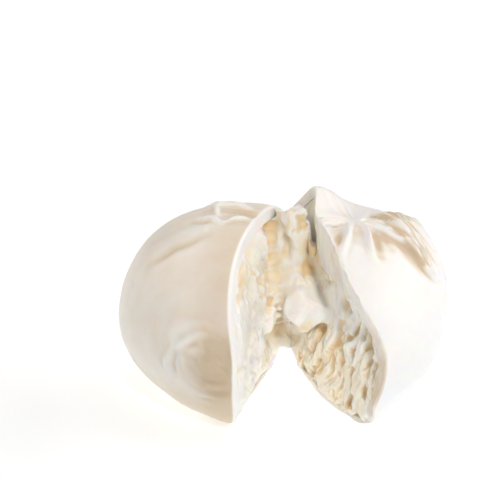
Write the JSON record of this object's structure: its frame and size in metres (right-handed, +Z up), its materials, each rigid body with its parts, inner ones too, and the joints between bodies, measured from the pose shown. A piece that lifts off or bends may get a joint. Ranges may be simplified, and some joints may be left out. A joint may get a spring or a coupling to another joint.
{
  "type": "burrata",
  "caption": "Ball of fresh stretched-curd cheese with a pleated crown, cut from the front and opened like a book to show its torn cream-and-curd filling.",
  "frame": {"origin": "centre of the bounding box in plan, on the surface that the cheese rests on", "axes": "+Z up, the opened cut faces -Y, the pleated crown is at +X of the cut"},
  "size_m": [0.1028, 0.08, 0.0672],
  "materials": {
    "pouch_skin": "moist stretched curd, smooth, with a soft sheen",
    "cream_curds": "wet torn curds in cream"
  },
  "bodies": {
    "root": {"pouch": "pouch_skin", "filling": "cream_curds"}
  },
  "joints": []
}
